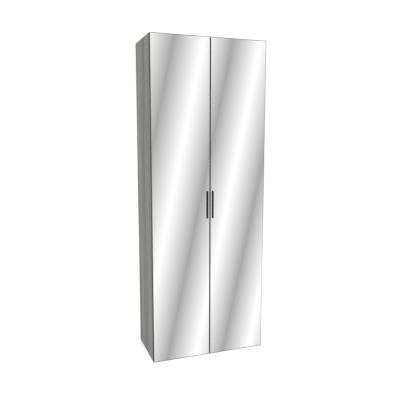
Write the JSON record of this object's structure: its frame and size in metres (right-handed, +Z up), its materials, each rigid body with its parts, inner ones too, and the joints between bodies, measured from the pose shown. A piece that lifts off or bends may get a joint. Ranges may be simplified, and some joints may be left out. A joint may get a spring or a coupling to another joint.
{
  "type": "wardrobe",
  "caption": "Tall wardrobe with full-height mirrored doors on concealed hinges, slim black bar handles, a hat shelf and a hanging rail.",
  "frame": {"origin": "middle of the bounding box at floor level", "axes": "+Z up, the mirrored doors face -Y, +X to the right as seen from the front"},
  "size_m": [0.9, 0.465, 2.41],
  "materials": {
    "board": "grey wood-grain laminate, satin",
    "door_board": "rebated board wrapped in grey wood-grain foil, with plain edges",
    "hardboard": "printed hardboard, matt",
    "beech": "fluted beech dowel",
    "mirror": "silvered float glass with polished edges",
    "black_metal": "matt black powder coat",
    "nickel": "nickel-plated steel",
    "zinc": "bright zinc plate",
    "rail_chrome": "polished chrome",
    "white_plastic": "moulded white plastic",
    "black_plastic": "moulded black plastic"
  },
  "bodies": {
    "carcase": {"left_side_panel": "board", "right_side_panel": "board", "top_panel": "board", "bottom_panel": "board", "hat_shelf": "board", "front_plinth": "board", "rear_plinth": "board", "left_back_sheet": "hardboard", "right_back_sheet": "hardboard", "back_joining_strip": "white_plastic", "hanging_rail": "rail_chrome", "left_rail_socket": "nickel", "right_rail_socket": "nickel", "rail_socket_screws": "zinc", "cam_locks": "zinc", "cam_bolts": "zinc", "wood_dowels": "beech", "floor_glides": "black_plastic", "left_wall_bracket": "zinc", "right_wall_bracket": "zinc", "wall_bracket_screws": "zinc", "door_buffers": "white_plastic", "left_mounting_plates": "nickel", "left_plate_screws": "zinc", "left_hinge_arm_1": "nickel", "left_hinge_arm_2": "nickel", "left_hinge_arm_3": "nickel", "left_hinge_arm_4": "nickel", "left_hinge_arm_5": "nickel", "right_mounting_plates": "nickel", "right_plate_screws": "zinc", "right_hinge_arm_1": "nickel", "right_hinge_arm_2": "nickel", "right_hinge_arm_3": "nickel", "right_hinge_arm_4": "nickel", "right_hinge_arm_5": "nickel"},
    "left_door": {"left_door_board": "door_board", "left_mirror": "mirror", "left_handle": "black_metal", "left_handle_screws": "zinc", "left_hinge_cup_screws": "zinc", "left_hinge_cup_1": "nickel", "left_hinge_cup_2": "nickel", "left_hinge_cup_3": "nickel", "left_hinge_cup_4": "nickel", "left_hinge_cup_5": "nickel"},
    "left_outer_link_set": {"left_outer_links": "nickel"},
    "left_inner_link_set": {"left_inner_links": "nickel"},
    "right_door": {"right_door_board": "door_board", "right_mirror": "mirror", "right_handle": "black_metal", "right_handle_screws": "zinc", "right_hinge_cup_screws": "zinc", "right_hinge_cup_1": "nickel", "right_hinge_cup_2": "nickel", "right_hinge_cup_3": "nickel", "right_hinge_cup_4": "nickel", "right_hinge_cup_5": "nickel"},
    "right_outer_link_set": {"right_outer_links": "nickel"},
    "right_inner_link_set": {"right_inner_links": "nickel"}
  },
  "joints": [
    {"name": "left_door_swing", "type": "hinge", "parent": "carcase", "child": "left_door", "pos_m": [-0.4415, -0.2085, 0], "axis": [0, 0, -1], "range_deg": [0, 95]},
    {"name": "left_outer_link_turn", "type": "hinge", "parent": "carcase", "child": "left_outer_link_set", "pos_m": [-0.4167, -0.2038, 0], "axis": [0, 0, 1], "range_deg": [0, 17.1]},
    {"name": "left_inner_link_turn", "type": "hinge", "parent": "carcase", "child": "left_inner_link_set", "pos_m": [-0.4209, -0.1968, 0], "axis": [0, 0, 1], "range_deg": [0, 16]},
    {"name": "right_door_swing", "type": "hinge", "parent": "carcase", "child": "right_door", "pos_m": [0.4415, -0.2085, 0], "axis": [0, 0, 1], "range_deg": [0, 95]},
    {"name": "right_outer_link_turn", "type": "hinge", "parent": "carcase", "child": "right_outer_link_set", "pos_m": [0.4167, -0.2038, 0], "axis": [0, 0, -1], "range_deg": [0, 17.1]},
    {"name": "right_inner_link_turn", "type": "hinge", "parent": "carcase", "child": "right_inner_link_set", "pos_m": [0.4209, -0.1968, 0], "axis": [0, 0, -1], "range_deg": [0, 16]}
  ],
  "couplings": [
    {"joint": "left_outer_link_turn", "follows": "left_door_swing", "ratio": 0.179},
    {"joint": "left_inner_link_turn", "follows": "left_door_swing", "ratio": 0.167},
    {"joint": "right_outer_link_turn", "follows": "right_door_swing", "ratio": 0.179},
    {"joint": "right_inner_link_turn", "follows": "right_door_swing", "ratio": 0.167}
  ]
}
